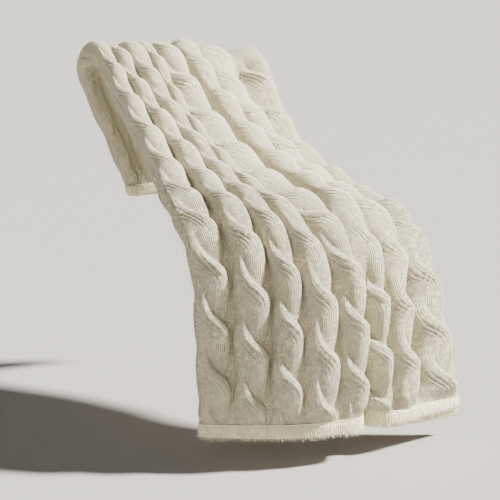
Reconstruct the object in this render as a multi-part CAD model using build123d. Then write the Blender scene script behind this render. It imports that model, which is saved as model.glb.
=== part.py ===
from build123d import *
import os

# A cable-knit throw, folded in half along its length and draped over the back and seat of a
# small barrel armchair, which is not part of it.  Millimetres.  +Z is up and -Y is the way the
# chair faces.  The origin is on the underside of the seat run, where the throw lies on the seat.

# Driving dimensions
LAYER = 7.0             # thickness of one knitted layer
GAP = 2.0               # air between the two layers of the folded throw
FACE_PROUD = 3.0        # outer face of the upper layer above the drape lines
HEM_HEIGHT = 26.0       # ribbed hem band
SEAM_HEIGHT = 2.4       # chain of linking yarn between the panel and a hem band
SEAM_PROUD = 1.0        # how far the linking yarn stands out of the panel's faces
HEM_PROUD = 1.6         # how far the turned hem band stands out of the panel's faces
PRESS = 3.0             # how far the soft underside would sink below the seat's surface
REST_SIDE = 90.0        # the square flat that is pressed on the seat, about the origin
PRESSED_REACH = 80.0    # the underside is pressed down out to here, and eases off to twice this

# How the throw hangs: three lines of the cloth, each from the front hem up over the seat's edge,
# along the seat, up and over the chair back, and down to the rear hem.
FOLDED_EDGE = [
    (-250, -97, -401), (-255, -101, -291), (-259, -100, -190), (-262, -88, -90), (-262, -35, -18),
    (-249, 50, 26), (-234, 139, 68), (-223, 227, 124), (-218, 315, 182), (-210, 397, 236),
    (-203, 490, 284), (-203, 553, 276), (-186, 597, 228), (-146, 609, 139), (-98, 611, 39),
    (-64, 611, -45)]
MIDDLE_LINE = [
    (-4, -205, -401), (-4, -206, -291), (-5, -203, -190), (-7, -183, -92), (-30, -125, -12),
    (-62, -35, 30), (-78, 70, 62), (-90, 160, 108), (-94, 245, 158), (-93, 327, 214),
    (-86, 400, 262), (-74, 470, 282), (-60, 545, 272), (-35, 595, 215), (5, 610, 96),
    (35, 613, -45)]
OPEN_EDGE = [
    (304, -150, -401), (296, -137, -311), (284, -115, -211), (274, -85, -122), (269, -43, -57),
    (268, 23, -18), (260, 97, -6), (249, 175, 15), (238, 250, 43), (223, 315, 76), (216, 375, 126),
    (211, 427, 186), (206, 483, 262), (207, 537, 262), (214, 583, 222), (234, 603, 139),
    (258, 609, 39), (270, 609, -45)]

FRONT_HEM_Z, REAR_HEM_Z = -401.0, -45.0     # lowest points of the two hems

PANEL_SECTIONS = 36     # cross-sections along the panel
POINTS_ACROSS = 9       # points across one layer
PROBE = 0.004           # step, as a fraction of the cloth, used to find its directions

LINES = [Edge.make_spline([Vector(*point) for point in line])
         for line in (FOLDED_EDGE, MIDDLE_LINE, OPEN_EDGE)]
CLOTH_LENGTH = LINES[1].length


def across(first, middle, last, u):
    """A smooth value across the cloth through three given ones, without overshoot."""
    rise, fall = 2 * (middle - first), 2 * (last - middle)
    centre = 2 * rise * fall / (rise + fall) if rise * fall > 0 else 0.0
    if u < 0.5:
        start, end, slope_start, slope_end, t = first, middle, 1.5 * rise - 0.5 * centre, centre, 2 * u
    else:
        start, end, slope_start, slope_end, t = middle, last, centre, 1.5 * fall - 0.5 * centre, 2 * u - 1
    bend = (1 - t) * slope_start * 0.5 - t * slope_end * 0.5 + (2 * t - 1) * (end - start)
    return start * (1 - t) + end * t + t * (1 - t) * bend


def cloth(u, v):
    """Point of the cloth: u from the folded edge to the open edge, v from front to rear hem."""
    spots = [line.position_at(v * line.length, PositionMode.LENGTH) for line in LINES]
    return Vector(*(across(*values, u) for values in zip(*(tuple(spot) for spot in spots))))


def directions(u, v):
    """Unit vectors at a point of the cloth: across it, and out of its face."""
    low_u, high_u = max(u - PROBE, 0), min(u + PROBE, 1)
    low_v, high_v = max(v - PROBE, 0), min(v + PROBE, 1)
    sideways = (cloth(high_u, v) - cloth(low_u, v)).normalized()
    along = cloth(u, high_v) - cloth(u, low_v)
    return sideways, sideways.cross(along).normalized()


def pressed(point):
    """The underside of the seat run, pressed flat where it lies on the seat."""
    beyond = max(abs(point.X), abs(point.Y)) / PRESSED_REACH
    share = min(max(2 - beyond, 0), 1)
    drop = max(point.Z + PRESS, 0) * share ** 2 * (3 - 2 * share)
    return Vector(point.X, point.Y, point.Z - drop)


def section(v, proud=0.0, level=None):
    """Closed outline of both layers at one place along the cloth, joined at the folded edge."""
    steps = [i / (POINTS_ACROSS - 1) for i in range(POINTS_ACROSS)]
    frames = [(cloth(u, v), *directions(u, v)) for u in steps]

    def row(height):
        points = [spot + normal * height for spot, _, normal in frames]
        return points if level is None else [Vector(p.X, p.Y, level) for p in points]

    top = FACE_PROUD + proud
    under = FACE_PROUD - 2 * LAYER - GAP - proud
    outer_top, inner_top = row(top), row(FACE_PROUD - LAYER)
    inner_under, outer_under = row(FACE_PROUD - LAYER - GAP), [pressed(p) for p in row(under)]
    sideways = frames[0][1]
    if level is not None:
        sideways = Vector(sideways.X, sideways.Y, 0).normalized()
    fold = (outer_top[0] + outer_under[0]) * 0.5 - sideways * (top - under) * 0.5
    inner_fold = (inner_top[0] + inner_under[0]) * 0.5 - sideways * GAP * 0.5
    return Wire([
        Edge.make_spline(outer_top, parameters=steps),
        Edge.make_line(outer_top[-1], inner_top[-1]),
        Edge.make_spline(inner_top[::-1], parameters=steps),
        Edge.make_three_point_arc(inner_top[0], inner_fold, inner_under[0]),
        Edge.make_spline(inner_under, parameters=steps),
        Edge.make_line(inner_under[-1], outer_under[-1]),
        Edge.make_spline(outer_under[::-1], parameters=steps),
        Edge.make_three_point_arc(outer_under[0], fold, outer_top[0])])


def knit_panel():
    """The cable-knit panel: one piece of fabric, doubled over at the folded edge."""
    margin = HEM_HEIGHT + SEAM_HEIGHT
    start = margin / CLOTH_LENGTH
    stations = [start + (1 - 2 * start) * i / (PANEL_SECTIONS - 1) for i in range(PANEL_SECTIONS)]
    levels = [FRONT_HEM_Z + margin] + [None] * (PANEL_SECTIONS - 2) + [REAR_HEM_Z + margin]
    panel = Solid.make_loft([section(v, level=z) for v, z in zip(stations, levels)])
    seat = Pos(0, 0, -LAYER) * Box(REST_SIDE, REST_SIDE, 2 * LAYER)
    return panel - seat


def hem_piece(end, low, high, proud, edge_proud):
    """A strip of the hem, low to high above its lowest point, at the front or the rear end."""
    bottom = FRONT_HEM_Z if end == "front" else REAR_HEM_Z
    outlines = []
    for height, out in ((low, edge_proud), ((low + high) / 2, proud), (high, edge_proud)):
        v = height / CLOTH_LENGTH if end == "front" else 1 - height / CLOTH_LENGTH
        outlines.append(section(v, out, bottom + height))
    return Solid.make_loft(outlines)


def rib_hem(end):
    """Ribbed hem band, turned and a little fuller than the panel."""
    return hem_piece(end, 0.0, HEM_HEIGHT, HEM_PROUD, 0.2 * HEM_PROUD)


def linking_seam(end):
    """Chain of yarn that joins the hem band to the panel, stitch by stitch."""
    return hem_piece(end, HEM_HEIGHT, HEM_HEIGHT + SEAM_HEIGHT, SEAM_PROUD, 0.3 * SEAM_PROUD)


os.makedirs("parts", exist_ok=True)
pieces = {
    "knit_panel": knit_panel(),
    "front_rib_hem": rib_hem("front"),
    "rear_rib_hem": rib_hem("rear"),
    "front_linking_seam": linking_seam("front"),
    "rear_linking_seam": linking_seam("rear"),
}
for name, piece in pieces.items():
    export_step(piece, f"parts/{name}.step")
    print(name, round(piece.volume), "mm3")
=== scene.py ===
import math
import bpy
import numpy as np
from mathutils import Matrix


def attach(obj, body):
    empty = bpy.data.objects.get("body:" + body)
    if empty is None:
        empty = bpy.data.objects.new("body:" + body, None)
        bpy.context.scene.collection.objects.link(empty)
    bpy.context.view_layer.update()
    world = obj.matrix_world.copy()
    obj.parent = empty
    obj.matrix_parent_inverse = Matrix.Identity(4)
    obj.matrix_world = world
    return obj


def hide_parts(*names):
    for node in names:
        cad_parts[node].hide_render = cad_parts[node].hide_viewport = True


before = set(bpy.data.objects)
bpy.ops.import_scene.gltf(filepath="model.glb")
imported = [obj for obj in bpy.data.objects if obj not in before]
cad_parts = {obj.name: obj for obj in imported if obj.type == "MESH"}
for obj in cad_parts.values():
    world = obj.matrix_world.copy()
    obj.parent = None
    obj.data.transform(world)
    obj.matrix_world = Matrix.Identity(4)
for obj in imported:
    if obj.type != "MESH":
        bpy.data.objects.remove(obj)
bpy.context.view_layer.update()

IVORY = (0.915, 0.84, 0.57)     # the yarn
PAINTED_GUTTER_SHADE = (0.46, 0.385, 0.225)      # painted shade: the yarn's colour darkened down between the cables, where shade falls
FLOOR_TONE = (0.37, 0.35, 0.325)
FLOOR = -0.461              # the floor the chair stands on
CAMERA_SPOT = (-1.5796, -2.8085, 0.464)
CAMERA_DOWN, CAMERA_TURN = math.radians(9.63), math.radians(-28)
FOCAL = 120.96              # on a 36 mm sensor
KNIT_BUMP, RIB_BUMP = 0.0024, 0.0006    # height of the stitches' bump, on the panel and the bands
WALE_DEPTH, ROW_DEPTH = 0.85, 0.55      # how much of it the wales and the rows take
WORLD = 0.19                # strength of the even light from all round

# ---------------------------------------------------------------------------------------------
# The throw: sizes in metres, in the frame's own axes (front is -Y, the fold is at -X).
# ---------------------------------------------------------------------------------------------
FLAT_WIDTH, FLAT_LENGTH = 1.27, 1.52    # the throw opened out, ribbed hems included
COLUMNS = 8                 # cable columns on each side of the fold
COLUMN = FLAT_WIDTH / (2 * COLUMNS)
HEM = 0.026                 # height of a ribbed hem band
PITCH = 0.107               # from one crossing of a cable to the next
LOWEST = (.122, .0705, .110, .0500, .104, .0490, .121, .0705)     # each column's lowest crossing
WALE = 0.0031               # width of one column of stitches
COURSE = 0.0024             # height of one row of stitches
FABRIC = 0.0045             # thickness of the knitted ground
ARCHED = 0.0765             # cloth width of a column between its gutters, as it arches
SWING = 0.0185              # how far a strand's middle strays from the column's middle
HURRY, STEEPER = 0.095, 0.60        # how much faster a strand swings over at a crossing, and leans more
STRAND_HALF = 0.0180        # from a strand's middle to its right edge, square to it
LEFT_EDGE = 0.0365          # from a column's middle to where its left side meets the gutter
STRAND_HIGH = 0.0130        # how far a strand stands out of the purl ground
OVER, UNDER = 0.0036, -0.0078       # lift of the upper strand on a crossing, drop of the lower
TUCK = 0.0020               # how far a strand's upper end dips behind the strand beside it
RIDGE = 0.0032              # ridges over the tight stitches of a crossing
PURL = 0.0                  # level of the purl ground between the strands
RIB, RIB_HIGH = 0.005, 0.0004       # width and relief of one rib of the hem band
RIB_SAMPLES = 6             # mesh columns over one rib
BAND_THICK, BAND_LIFT = 0.0056, -0.0018     # half-thickness of the hem band, and how far out it sits
CHAIN_SAMPLES = 4           # mesh columns over one stitch of the linking chain
CHAIN_HALF, CHAIN_LIFT = 0.0011, 0.0016     # half-thickness of the chain, and how far out it sits
CHAIN_BEAD = 0.0005         # how far each stitch of the chain swells
LAYERS_APART = 0.015        # outer face of the upper layer to outer face of the under layer
ROLL = 0.0125               # radius of the soft roll along the fold
ROLL_END = ROLL * math.pi / 2 / COLUMN      # column position where the roll ends
HEM_FLAT = 0.15             # share of the cables' height that is left beside a hem
BUMP_FULL = 0.002           # swelling of a band that counts as one cable's height in its painted shade
FULLER = 0.35               # how much fuller the cables stand towards the open edge
BRUSHED = 0.38              # how much fainter the stitches show on the seat and the back
UNDER_HANGS = 0.018         # how much lower the under layer hangs at its open corner
UNDER_SHOWS = 0.006         # how far the under layer shows beyond the upper one's open edge

# How the throw hangs: three lines of the cloth, each from the front hem up over the seat's edge,
# along the seat, up and over the chair back, and down to the rear hem.
FOLDED_EDGE = [
    (-.250, -.097, -.401), (-.255, -.101, -.291), (-.259, -.100, -.190), (-.262, -.088, -.090),
    (-.262, -.035, -.018), (-.249, .050, .026), (-.234, .139, .068), (-.223, .227, .124),
    (-.218, .315, .182), (-.210, .397, .236), (-.203, .490, .284), (-.203, .553, .276),
    (-.186, .597, .228), (-.146, .609, .139), (-.098, .611, .039), (-.064, .611, -.045)]
MIDDLE_LINE = [
    (-.004, -.205, -.401), (-.004, -.206, -.291), (-.005, -.203, -.190), (-.007, -.183, -.092),
    (-.030, -.125, -.012), (-.062, -.035, .030), (-.078, .070, .062), (-.090, .160, .108),
    (-.094, .245, .158), (-.093, .327, .214), (-.086, .400, .262), (-.074, .470, .282),
    (-.060, .545, .272), (-.035, .595, .215), (.005, .610, .096), (.035, .613, -.045)]
OPEN_EDGE = [
    (.304, -.150, -.401), (.296, -.137, -.311), (.284, -.115, -.211), (.274, -.085, -.122),
    (.269, -.043, -.057), (.268, .023, -.018), (.260, .097, -.006), (.249, .175, .015),
    (.238, .250, .043), (.223, .315, .076), (.216, .375, .126), (.211, .427, .186),
    (.206, .483, .262), (.207, .537, .262), (.214, .583, .222), (.234, .603, .139),
    (.258, .609, .039), (.270, .609, -.045)]

# How far across the throw the seven inner purl gutters lie (0 at the fold, 1 at the open
# edge), at places along it. Over the seat and the back the fourth column is nearly shut away.
GUTTERS = [
    (0.00, .122, .238, .357, .495, .602, .720, .830), (0.10, .121, .242, .359, .493, .606, .714, .832),
    (0.17, .122, .255, .362, .487, .613, .718, .842), (0.24, .147, .270, .370, .475, .590, .730, .870),
    (0.34, .203, .340, .440, .510, .700, .780, .900), (0.45, .225, .385, .470, .525, .713, .810, .920),
    (0.55, .203, .357, .455, .508, .703, .795, .870), (0.63, .180, .290, .440, .505, .662, .745, .865),
    (0.70, .140, .265, .420, .500, .630, .730, .880), (0.90, .125, .250, .375, .500, .625, .750, .875)]

# Folds pressed in towards the chair: column position, half-width in columns, depth,
# and from where to where along the throw (0 at the front hem, 1 at the rear hem).
FOLDS = [
    (5.36, 0.32, 0.046, -0.20, 0.25),
    (4.20, 0.30, 0.018, 0.01, 0.36),
    (4.25, 0.32, 0.026, 0.26, 0.74),
    (2.12, 0.26, 0.010, 0.02, 0.32),
    (1.02, 0.20, 0.005, 0.02, 0.74),
    (2.02, 0.24, 0.017, 0.28, 0.72),
    (1.02, 0.20, 0.007, 0.30, 0.72),
    (6.98, 0.30, 0.026, 0.00, 0.28),
    (7.22, 0.42, 0.040, 0.22, 0.78),
    (5.02, 0.20, 0.018, 0.28, 0.72),
    (6.02, 0.22, 0.021, 0.26, 0.70),
    (6.02, 0.25, 0.010, 0.02, 0.34),
]

SAMPLES_UPPER = 44          # mesh columns over one cable column of the upper layer
SAMPLES_UNDER = 13          # and of the under layer
SAMPLES_ROLL = 20           # mesh columns round the fold
ROW_STEP = 0.0028           # from one mesh row along the throw to the next
FIBRES, FIBRES_QUICK = 26000, 6000      # loose fibres
FIBRE_LENGTHS = (0.004, 0.016)
FIBRE_HALF, TUFT_HALF = 0.00010, 0.00016    # half-width of a fibre, and of one along an edge


# ---------------------------------------------------------------------------------------------
# The drape
# ---------------------------------------------------------------------------------------------
def smooth(x, low, high):
    """0 below low, 1 above high, and an even S between."""
    t = np.clip((x - low) / (high - low), 0, 1)
    return t * t * (3 - 2 * t)


def unit(a):
    return a / np.maximum(np.linalg.norm(a, axis=-1, keepdims=True), 1e-12)


def spline(points, dense=60):
    """A natural cubic spline through the points, and the share of its length at each sample."""
    p = np.array(points, float)
    knots = np.r_[0, np.cumsum(np.linalg.norm(np.diff(p, axis=0), axis=1))]
    count, gap = len(p), np.diff(knots)
    matrix, right = np.zeros((count, count)), np.zeros((count, 3))
    matrix[0, 0] = matrix[-1, -1] = 1
    for i in range(1, count - 1):
        matrix[i, i - 1:i + 2] = gap[i - 1], 2 * (gap[i - 1] + gap[i]), gap[i]
        right[i] = 6 * ((p[i + 1] - p[i]) / gap[i] - (p[i] - p[i - 1]) / gap[i - 1])
    bend = np.linalg.solve(matrix, right)
    t = np.linspace(0, knots[-1], dense * count)
    k = np.clip(np.searchsorted(knots, t, side="right") - 1, 0, count - 2)
    a, b, h = (knots[k + 1] - t)[:, None], (t - knots[k])[:, None], gap[k][:, None]
    curve = bend[k] * a ** 3 / (6 * h) + bend[k + 1] * b ** 3 / (6 * h)
    curve += (p[k] / h - bend[k] * h / 6) * a + (p[k + 1] / h - bend[k + 1] * h / 6) * b
    length = np.r_[0, np.cumsum(np.linalg.norm(np.diff(curve, axis=0), axis=1))]
    return curve, length / length[-1]


LINES = [spline(line) for line in (FOLDED_EDGE, MIDDLE_LINE, OPEN_EDGE)]


def line_at(line, v):
    """Points of a line at fractions v of its length, carried on straight past its ends."""
    curve, share = line
    spots = np.stack([np.interp(v, share, curve[:, i]) for i in range(3)], -1)
    spots += np.minimum(v, 0)[..., None] * (curve[1] - curve[0]) / share[1]
    spots += np.maximum(v - 1, 0)[..., None] * (curve[-1] - curve[-2]) / (1 - share[-2])
    return spots


def base(u, v):
    """The cloth without its folds: u from the folded edge to the open edge, v along it."""
    first, middle, last = (line_at(line, v) for line in LINES)
    rise, fall = 2 * (middle - first), 2 * (last - middle)
    product = rise * fall
    centre = np.where(product > 0, 2 * product / np.where(product > 0, rise + fall, 1), 0)
    low = (u < 0.5)[..., None]
    start, end = np.where(low, first, middle), np.where(low, middle, last)
    slope_in = np.where(low, 1.5 * rise - 0.5 * centre, centre) / 2
    slope_out = np.where(low, centre, 1.5 * fall - 0.5 * centre) / 2
    t = (2 * u - (u >= 0.5))[..., None]
    bend = (1 - t) * slope_in - t * slope_out + (2 * t - 1) * (end - start)
    return start * (1 - t) + end * t + t * (1 - t) * bend


def frame_at(u, v):
    """Unit vectors across the cloth and out of it."""
    step = 0.006
    sideways = unit(base(u + step, v) - base(u - step, v))
    along = base(u, v + step) - base(u, v - step)
    return sideways, unit(np.cross(sideways, along))


def gutter_place(k, v):
    """How far across the throw gutter k lies, softened along the throw."""
    if k in (0, COLUMNS):
        return np.full(np.shape(v), k / COLUMNS)
    table = np.array(GUTTERS)
    near = (np.interp(v + shift, table[:, 0], table[:, k]) for shift in (-0.03, 0, 0, 0.03))
    return sum(near) / 4


def share_across(c, v):
    """Where column position c (0 to 8, from the fold) lies across the throw, 0 to 1."""
    share = np.zeros(np.broadcast(c, v).shape)
    for k in range(COLUMNS):
        here = (c >= k) & (c < k + 1) if k < COLUMNS - 1 else c >= k
        low, high = gutter_place(k, v), gutter_place(k + 1, v)
        share = np.where(here, low + (high - low) * (c - k), share)
    return share


def fold_depth(c, v):
    """How far the folds press the cloth in at column position c."""
    depth = np.zeros(np.broadcast(c, v).shape)
    for place, width, deep, low, high in FOLDS:
        along = smooth(v, low, low + 0.10) * (1 - smooth(v, high - 0.10, high))
        depth += deep * along * np.exp(-((c - place) / width) ** 2)
    return depth


def ground(c, v):
    """The draped cloth at column position c, with its vectors across and out of it."""
    u = share_across(c, v)
    sideways, out = frame_at(u, v)
    return base(u, v) - out * fold_depth(c, v)[..., None], sideways, out


def folded_sheet(a, v, flatten):
    """Points of the sheet's outer face without its cables, one row for each value of v.

    a runs over the opened-out sheet in columns from the fold: negative on the under layer,
    positive on the upper one. Also returns how tightly each column is pushed together."""
    a, v = np.meshgrid(a, v)
    flatten = np.broadcast_to(np.reshape(flatten, (-1, 1)), a.shape)
    c = np.maximum(np.abs(a), ROLL_END)
    under = a < 0
    hang = np.where(under, UNDER_HANGS * (c / COLUMNS) ** 2 / FLAT_LENGTH, 0)
    row = v - hang
    spot, sideways, out = ground(c, row)
    column = np.clip(np.floor(c), 0, COLUMNS - 1)
    left, right = ground(column, row)[0], ground(column + 1, row)[0]
    chord = np.linalg.norm(right - left, axis=-1)
    height = 0.25 * np.sqrt(np.maximum(ARCHED ** 2 - chord ** 2, 0.00002))
    height = np.minimum(height, 0.17 * chord)
    arch = height * np.sin(math.pi * np.clip(c - column, 0, 1)) ** 1.2 * flatten
    tight = np.clip(chord / COLUMN, 0.35, 1)
    spread = np.exp(-((c - ROLL_END) * COLUMN / 0.035) ** 2)
    apart = LAYERS_APART + (2 * ROLL - LAYERS_APART) * spread
    peek = UNDER_SHOWS * (c / COLUMNS) ** 3
    face = spot + out * arch[..., None]
    below = spot + out * (0.8 * arch - apart)[..., None] + sideways * peek[..., None]
    angle = np.clip(a / ROLL_END, -1, 1) * math.pi / 2
    turn = spot - out * ROLL - sideways * (ROLL * np.cos(angle))[..., None]
    turn = turn + out * (ROLL * np.sin(angle))[..., None]
    on_roll = (np.abs(a) < ROLL_END)[..., None]
    return np.where(on_roll, turn, np.where(under[..., None], below, face)), tight


# ---------------------------------------------------------------------------------------------
# The cables
# ---------------------------------------------------------------------------------------------
def blend_up(first, second, soft):
    """The higher of two heights, rounded off where they come within soft of each other."""
    near = np.maximum(soft - np.abs(first - second), 0) / soft
    return np.maximum(first, second) + near ** 2 * soft / 4


def strand(p, x):
    """Relief and wale number of one strand; x is 0 where it passes over, +-1 where it is under.

    Its right edge stands up sharply; its left side slopes off gently to the column's left edge."""
    turn = x + HURRY * np.sin(2 * math.pi * x)
    middle = -SWING * np.sin(math.pi * turn)
    lean = SWING * math.pi / PITCH * np.cos(math.pi * turn) * (1 + STEEPER * np.cos(2 * math.pi * x))
    slant = np.sqrt(1 + lean ** 2)
    tucked = smooth(x, 0.10, 0.60)
    right = STRAND_HALF * slant * (1 + 0.05 * np.cos(2 * math.pi * x)) * (1 - 0.30 * tucked)
    left = LEFT_EDGE + middle
    side = np.where(p > middle, (p - middle) / right, (p - middle) / left)
    falling, rising = np.clip(side - 0.3, 0, 0.7) / 0.7, np.clip(0.3 - side, 0, 1.3) / 1.3
    dome = np.where(side > 0.3, (1 - falling ** 2.6) ** 0.8, 1 - rising ** 1.9)
    lift = UNDER + (OVER - UNDER) * (0.5 + 0.5 * np.cos(math.pi * x)) ** 0.75 - TUCK * tucked
    wale = (p - middle) / slant / WALE
    gathers = 2 * np.abs(np.cos(wale * math.pi / 2.2)) - 1
    ridges = RIDGE * np.exp(-((x + 0.03) / 0.20) ** 2 - ((wale + 1) / 6) ** 2) * gathers
    return np.where(np.abs(side) < 1, lift + (STRAND_HIGH + ridges) * dome, 2 * UNDER), wale


def cable(a, q):
    """Relief, wale number and how clearly the wales show; a is the column position,
    q metres above the hem."""
    column = np.floor(np.abs(a))
    p = (np.abs(a) - column - 0.5) * COLUMN
    first = np.array(LOWEST)[np.clip(column, 0, COLUMNS - 1).astype(int)]
    phase = (q - first) / PITCH
    tau = phase - np.floor(phase)
    lower, lower_wale = strand(p, tau)
    upper, upper_wale = strand(p, tau - 1)
    apart = np.clip(np.abs(lower - upper) / 0.002, 0, 1)
    soft = 0.0007 + 0.0045 * smooth(tau, 0.30, 0.60) * (1 - smooth(tau, 0.90, 1.0))
    rope = blend_up(lower, upper, soft)
    clear = apart * smooth(rope, PURL, PURL + 0.004)
    return blend_up(rope, PURL, 0.002), np.where(lower > upper, lower_wale, upper_wale), clear


# ---------------------------------------------------------------------------------------------
# Meshes
# ---------------------------------------------------------------------------------------------
def grid_faces(rows, cols, offset=0, flip=False, closed=False):
    """Quads over a grid of points; closed joins the last row to the first."""
    last = rows if closed else rows - 1
    r, c = np.meshgrid(np.arange(last), np.arange(cols - 1), indexing="ij")
    a = (r * cols + c).ravel() + offset
    b = (((r + 1) % rows) * cols + c).ravel() + offset
    quads = np.stack([a, a + 1, b + 1, b], 1)
    return quads[:, ::-1] if flip else quads


def new_mesh(name, points, faces, attributes=()):
    """A smooth mesh object from an array of points and a list of arrays of equal-sized faces."""
    mesh = bpy.data.meshes.new(name)
    loops = np.concatenate([np.asarray(f, int).ravel() for f in faces])
    sizes = np.concatenate([np.full(len(f), np.asarray(f).shape[1]) for f in faces])
    mesh.vertices.add(len(points))
    mesh.vertices.foreach_set("co", np.asarray(points, np.float32).ravel())
    mesh.loops.add(len(loops))
    mesh.loops.foreach_set("vertex_index", loops.astype(np.int32))
    mesh.polygons.add(len(sizes))
    mesh.polygons.foreach_set("loop_start", np.r_[0, np.cumsum(sizes)[:-1]].astype(np.int32))
    mesh.polygons.foreach_set("use_smooth", np.ones(len(sizes), bool))
    mesh.update(calc_edges=True)
    for key, values in attributes:
        layer = mesh.attributes.new(key, "FLOAT_VECTOR", "POINT")
        layer.data.foreach_set("vector", np.asarray(values, np.float32).ravel())
    mesh.validate()
    piece = bpy.data.objects.new(name, mesh)
    bpy.context.scene.collection.objects.link(piece)
    return piece


def surface_normals(points):
    """Outward unit normals of a grid of points, rows along the throw, columns across it."""
    return unit(np.cross(np.gradient(points, axis=1), np.gradient(points, axis=0)))


def across_the_sheet():
    """Column positions over the opened-out sheet, finer on the upper layer."""
    under = np.linspace(-COLUMNS, -ROLL_END, COLUMNS * SAMPLES_UNDER, endpoint=False)
    bend = np.linspace(-ROLL_END, ROLL_END, SAMPLES_ROLL, endpoint=False)
    upper = np.linspace(ROLL_END, COLUMNS, COLUMNS * SAMPLES_UPPER + 1)
    return np.concatenate([under, bend, upper])


def outer_face(a, v):
    """Points of the cabled outer face, with its relief and its stitches' numbers."""
    near_hem = (np.minimum(v, 1 - v) * FLAT_LENGTH - HEM)[:, None]
    face, tight = folded_sheet(a, v, HEM_FLAT + (1 - HEM_FLAT) * smooth(near_hem, 0, 0.09))
    a_grid, q = np.meshgrid(a, v * FLAT_LENGTH)
    relief, wale, clear = cable(a_grid, q)
    fuller = 1 + FULLER * smooth(a_grid, 4.5, 6.5) * (1 - smooth(v, 0.60, 0.70))[:, None]
    beside_hem = HEM_FLAT + (1 - HEM_FLAT) * smooth(near_hem, -0.002, 0.030)
    relief = relief * fuller * (0.65 + 0.35 * tight) * beside_hem
    clear = clear * (1 - BRUSHED * smooth(v, 0.30, 0.45))[:, None]
    normal = surface_normals(face)
    return face, normal, face + normal * relief[..., None], relief, wale, clear, q


def knit_panel():
    """The cable-knit panel, doubled over at the fold: outer face, inner face and edges."""
    start = HEM / FLAT_LENGTH
    rows = int((1 - 2 * start) * FLAT_LENGTH / ROW_STEP / 3) * 3 + 1
    a, v = across_the_sheet(), np.linspace(start, 1 - start, rows)
    face, normal, outer, relief, wale, clear, q = outer_face(a, v)
    cols = len(a)
    keep = np.r_[np.arange(0, cols - 1, 3), cols - 1]
    inner = (face - normal * FABRIC)[::3][:, keep]
    # wale and row numbers for the stitches, and the relief height that sets the painted shade
    stitch = np.stack([wale, q / COURSE, relief / STRAND_HIGH], -1)
    inner_stitch = stitch[::3][:, keep].copy()
    # no relief, so the inner face takes the painted shade of the purl gutters
    inner_stitch[..., 2] = 0
    shown = np.repeat(clear[..., None], 3, -1)
    points = np.concatenate([outer.reshape(-1, 3), inner.reshape(-1, 3)])
    offset, in_rows, in_cols = rows * cols, (rows + 2) // 3, len(keep)
    faces = [grid_faces(rows, cols), grid_faces(in_rows, in_cols, offset, flip=True)]
    faces += border_faces(rows, cols, keep, offset, in_cols)
    values = np.concatenate([stitch.reshape(-1, 3), inner_stitch.reshape(-1, 3)])
    shown = np.concatenate([shown.reshape(-1, 3), shown[::3][:, keep].reshape(-1, 3)])
    return new_mesh("cable_knit_panel", points, faces, [("stitch", values), ("shown", shown)])


def border_faces(rows, cols, keep, offset, in_cols):
    """Faces that close the panel's four edges between the fine outer and coarse inner grid."""
    by_size = {}

    def add(loop, forward):
        by_size.setdefault(len(loop), []).append(loop if forward else loop[::-1])

    for j in range(len(keep) - 1):
        for row, forward in ((0, False), (rows - 1, True)):
            outer = [row * cols + k for k in range(keep[j], keep[j + 1] + 1)]
            inner = offset + row // 3 * in_cols + j
            add(outer + [inner + 1, inner], forward)
    for i in range((rows - 1) // 3):
        for col, in_col, forward in ((0, 0, True), (cols - 1, in_cols - 1, False)):
            outer = [(3 * i + k) * cols + col for k in range(4)]
            inner = offset + i * in_cols + in_col
            add(outer + [inner + in_cols, inner], forward)
    return [np.array(loops) for loops in by_size.values()]


def tube_along(name, a, centre_v, half_height, half_depth, lift, bump, around=12, power=0.75):
    """A closed band right across the sheet at centre_v, whose sides swell by bump."""
    theta = np.arange(around) / around * 2 * math.pi
    tall = np.sign(np.cos(theta)) * np.abs(np.cos(theta)) ** power
    thick = np.sign(np.sin(theta)) * np.abs(np.sin(theta)) ** power
    rows = centre_v + np.array([-2, 0, 2]) * half_height / FLAT_LENGTH
    face, _ = folded_sheet(a, rows, HEM_FLAT)
    normal = surface_normals(face)[1]
    along = (face[2] - face[0]) / 4
    middle = face[1] + normal * lift
    swell = np.sign(thick) * np.abs(thick) ** 0.5
    depth = thick[:, None] * half_depth + swell[:, None] * bump
    points = middle + tall[:, None, None] * along + depth[..., None] * normal
    ends = [np.arange(around)[None, :] * len(a), np.arange(around)[None, ::-1] * len(a) + len(a) - 1]
    faces = [grid_faces(around, len(a), flip=True, closed=True)] + ends
    stitch = np.zeros(points.shape)
    stitch[..., 0] = a * COLUMN / WALE
    stitch[..., 1] = tall[:, None] * half_height / COURSE
    # relief height that sets the painted shade: darker in the hollows between the ribs
    stitch[..., 2] = 1 + bump / BUMP_FULL
    shown = np.ones(points.shape)
    values = [("stitch", stitch.reshape(-1, 3)), ("shown", shown.reshape(-1, 3))]
    return new_mesh(name, points.reshape(-1, 3), faces, values)


def rib_hem(name, front):
    """The ribbed hem band, folded with the panel: a soft flat tube with upright ribs."""
    middle = HEM / 2 / FLAT_LENGTH
    a = np.linspace(-COLUMNS, COLUMNS, int(2 * COLUMNS * COLUMN / RIB * RIB_SAMPLES) + 1)
    ribs = RIB_HIGH * np.cos(2 * math.pi * a * COLUMN / RIB)
    return tube_along(name, a, middle if front else 1 - middle, HEM / 2, BAND_THICK, BAND_LIFT, ribs)


def linking_seam(name, front):
    """The chain of linking stitches that joins the hem band to the panel."""
    edge = HEM / FLAT_LENGTH
    a = np.linspace(-COLUMNS, COLUMNS, int(2 * COLUMNS * COLUMN / RIB * CHAIN_SAMPLES) + 1)
    beads = CHAIN_BEAD * np.abs(np.sin(math.pi * a * COLUMN / RIB))
    place = edge if front else 1 - edge
    return tube_along(name, a, place, CHAIN_HALF, CHAIN_HALF, CHAIN_LIFT, beads, 8, 1)


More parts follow.
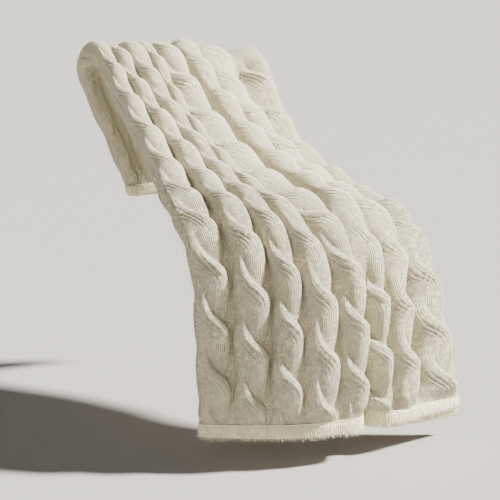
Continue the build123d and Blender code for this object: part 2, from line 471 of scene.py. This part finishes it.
def yarn_fuzz():
    """Loose brushed fibres: fine ones over the outer face, tufts along the hem and the fold."""
    random = np.random.default_rng(7)
    start = 0.1 * HEM / FLAT_LENGTH
    a, v = np.linspace(-COLUMNS, COLUMNS, 700), np.linspace(start, 1 - start, 700)
    face, normal, outer, relief, *_ = outer_face(a, v)
    count = FIBRES
    col, row = random.integers(0, len(a), count), random.integers(0, len(v), count)
    col = np.where(random.random(count) < 0.6, len(a) // 2 + col // 2, col)
    kind = random.random(count)
    hem, fold = kind < 0.16, (kind > 0.16) & (kind < 0.26)
    row = np.where(hem, random.integers(0, 5, count), row)
    col = np.where(fold, len(a) // 2 + random.integers(-9, 9, count), col)
    kept = hem | fold | (relief[row, col] > 0.3 * STRAND_HIGH)
    row, col, hem, fold, count = row[kept], col[kept], hem[kept], fold[kept], kept.sum()
    root, out = outer[row, col], normal[row, col]
    lean = unit(random.normal(size=(count, 3)))
    lean[:, 2] -= np.where(hem, 1.1, 0.35)
    way = unit(out * random.uniform(0.15, 0.8, (count, 1)) + lean)
    bend = unit(np.cross(way, unit(random.normal(size=(count, 3)))))
    length = random.uniform(*FIBRE_LENGTHS, (count, 1))
    side = unit(np.cross(way, bend)) * np.where(hem | fold, TUFT_HALF, FIBRE_HALF)[:, None]
    middle = root + way * length * 0.55
    tip = root + way * length * 0.9 + bend * length * 0.3
    points = np.stack([root - side, root + side, middle - side * 0.8, middle + side * 0.8, tip], 1)
    first = np.arange(count)[:, None] * 5
    quads, ends = first + np.array([0, 1, 3, 2]), first + np.array([2, 3, 4])
    return new_mesh("brushed_fibres", points.reshape(-1, 3), [quads, ends])


# ---------------------------------------------------------------------------------------------
# Materials
# ---------------------------------------------------------------------------------------------
def principled(name, colour, roughness):
    """A new material and its shader."""
    material = bpy.data.materials.new(name)
    material.use_nodes = True
    shader = material.node_tree.nodes["Principled BSDF"]
    shader.inputs["Base Color"].default_value = (*colour, 1)
    shader.inputs["Roughness"].default_value = roughness
    shader.inputs["Specular IOR Level"].default_value = 0.15
    return material, shader


def math_node(tree, operation, *values):
    """A maths node fed with numbers or sockets, as its output socket."""
    node = tree.nodes.new("ShaderNodeMath")
    node.operation = operation
    for socket, value in zip(node.inputs, values):
        if isinstance(value, (int, float)):
            socket.default_value = value
        else:
            tree.links.new(value, socket)
    return node.outputs[0]


def noise_node(tree, scale, detail):
    """Noise fixed to the object, with the given number of features per metre."""
    place = tree.nodes.new("ShaderNodeTexCoord")
    noise = tree.nodes.new("ShaderNodeTexNoise")
    noise.inputs["Scale"].default_value = scale
    noise.inputs["Detail"].default_value = detail
    tree.links.new(place.outputs["Object"], noise.inputs["Vector"])
    return noise.outputs[0]


def knit_wool(name, bump=KNIT_BUMP):
    """Brushed ivory yarn in knit stitches, from the mesh's own wale and course numbers."""
    material, shader = principled(name, IVORY, 0.95)
    tree = material.node_tree
    shader.inputs["Sheen Weight"].default_value = 0.35
    shader.inputs["Sheen Roughness"].default_value = 0.55
    shader.inputs["Subsurface Weight"].default_value = 0.08
    shader.inputs["Subsurface Radius"].default_value = (0.006, 0.004, 0.0025)
    shader.inputs["Subsurface Scale"].default_value = 1.0
    stitch = tree.nodes.new("ShaderNodeAttribute")
    stitch.attribute_name = "stitch"
    parts = tree.nodes.new("ShaderNodeSeparateXYZ")
    tree.links.new(stitch.outputs["Vector"], parts.inputs[0])
    wale, course, high = parts.outputs
    full_turn = 2 * math.pi
    # upright wales, and rows of stitches whose two legs slant
    across = math_node(tree, "COSINE", math_node(tree, "MULTIPLY", wale, full_turn))
    legs = math_node(tree, "ABSOLUTE", math_node(tree, "SUBTRACT", math_node(tree, "FRACT", wale), 0.5))
    slant = math_node(tree, "ADD", course, legs)
    rows = math_node(tree, "COSINE", math_node(tree, "MULTIPLY", slant, full_turn))
    knit = math_node(tree, "MULTIPLY_ADD", across, -WALE_DEPTH, math_node(tree, "MULTIPLY", rows, ROW_DEPTH))
    wool = noise_node(tree, 420, 3)
    shown = tree.nodes.new("ShaderNodeAttribute")
    shown.attribute_name = "shown"
    knit = math_node(tree, "MULTIPLY", knit, shown.outputs["Fac"])
    # the brushed halo hides the stitches in patches
    halo = math_node(tree, "MULTIPLY_ADD", noise_node(tree, 110, 2), 2.6, -0.55)
    knit = math_node(tree, "MULTIPLY", knit, halo)
    height = math_node(tree, "MULTIPLY_ADD", wool, 3.0, knit)
    grain = math_node(tree, "MULTIPLY_ADD", wool, 1.8, -0.90)
    bumped = tree.nodes.new("ShaderNodeBump")
    bumped.inputs["Distance"].default_value = bump
    bumped.inputs["Strength"].default_value = 1.0
    tree.links.new(height, bumped.inputs["Height"])
    tree.links.new(bumped.outputs[0], shader.inputs["Normal"])
    # colour: painted shade, a little deeper between the wales and rows of stitches and down in the purl
    # gutters, from the stitch pattern and the relief height
    level = math_node(tree, "MULTIPLY_ADD", knit, 0.42, math_node(tree, "MULTIPLY_ADD", high, 0.40, 0.36))
    level = math_node(tree, "ADD", level, grain)
    # the ramp runs from painted shade in the gutters up to the ivory yarn
    ramp = tree.nodes.new("ShaderNodeValToRGB")
    ramp.color_ramp.elements[0].color = (*PAINTED_GUTTER_SHADE, 1)
    ramp.color_ramp.elements[1].color = (*IVORY, 1)
    ramp.color_ramp.elements[0].position = 0.0
    ramp.color_ramp.elements[1].position = 0.85
    tree.links.new(level, ramp.inputs[0])
    tree.links.new(ramp.outputs[0], shader.inputs["Base Color"])
    return material


def fibre_wool(name):
    """Plain yarn for the linking chain and the loose fibres."""
    material, shader = principled(name, IVORY, 0.9)
    shader.inputs["Sheen Weight"].default_value = 0.4
    return material


# ---------------------------------------------------------------------------------------------
# The floor, the camera and the light
# ---------------------------------------------------------------------------------------------
def add_floor():
    bpy.ops.mesh.primitive_plane_add(size=120, location=(0, 0, FLOOR))
    floor = bpy.context.object
    floor.name = "floor"
    material, _ = principled("pale_floor", FLOOR_TONE, 0.7)
    floor.data.materials.append(material)


def add_camera():
    data = bpy.data.cameras.new("camera")
    data.lens = FOCAL
    data.sensor_width = 36
    camera = bpy.data.objects.new("camera", data)
    camera.location = CAMERA_SPOT
    camera.rotation_euler = (math.pi / 2 - CAMERA_DOWN, 0, CAMERA_TURN)
    bpy.context.scene.collection.objects.link(camera)
    bpy.context.scene.camera = camera


def add_sun(name, azimuth, elevation, strength, softness, colour):
    """A soft distant light; azimuth is degrees from +X towards +Y that it shines from."""
    data = bpy.data.lights.new(name, "SUN")
    data.energy = strength
    data.angle = math.radians(softness)
    data.color = colour
    light = bpy.data.objects.new(name, data)
    light.rotation_euler = (math.radians(90 - elevation), 0, math.radians(90 + azimuth))
    bpy.context.scene.collection.objects.link(light)


def add_world():
    """Soft even light from all round."""
    world = bpy.data.worlds.new("studio")
    world.use_nodes = True
    background = world.node_tree.nodes["Background"]
    background.inputs["Color"].default_value = (0.95, 0.97, 1.0, 1)
    background.inputs["Strength"].default_value = WORLD
    bpy.context.scene.world = world


# ---------------------------------------------------------------------------------------------
# The throw, put together
# ---------------------------------------------------------------------------------------------
def dress(piece, material, slot, *nodes):
    """Give a piece its material and let it stand for the named CAD nodes; slot is not used."""
    piece.data.materials.append(material)
    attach(piece, "root")
    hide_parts(*nodes)
    return piece


panel = dress(knit_panel(), knit_wool("cable_knit_wool"), "cable_knit", "knit_panel")
front_band, rear_band = rib_hem("front_hem_band", True), rib_hem("rear_hem_band", False)
front_chain, rear_chain = linking_seam("front_link_chain", True), linking_seam("rear_link_chain", False)
extras = [
    dress(front_band, knit_wool("rib_wool", RIB_BUMP), "rib_knit", "front_rib_hem"),
    dress(rear_band, knit_wool("rib_wool_rear", RIB_BUMP), "rib_knit", "rear_rib_hem"),
    dress(front_chain, fibre_wool("link_yarn"), "linking_yarn", "front_linking_seam"),
    dress(rear_chain, fibre_wool("link_yarn_rear"), "linking_yarn", "rear_linking_seam"),
    dress(yarn_fuzz(), fibre_wool("loose_fibre"), "cable_knit", "knit_panel")]

add_floor()
add_camera()
add_sun("key", -27, 42, 19.8, 6, (1.0, 0.985, 0.94))
add_sun("fill", -135, 25, 0.7, 35, (1.0, 0.99, 0.96))
add_world()
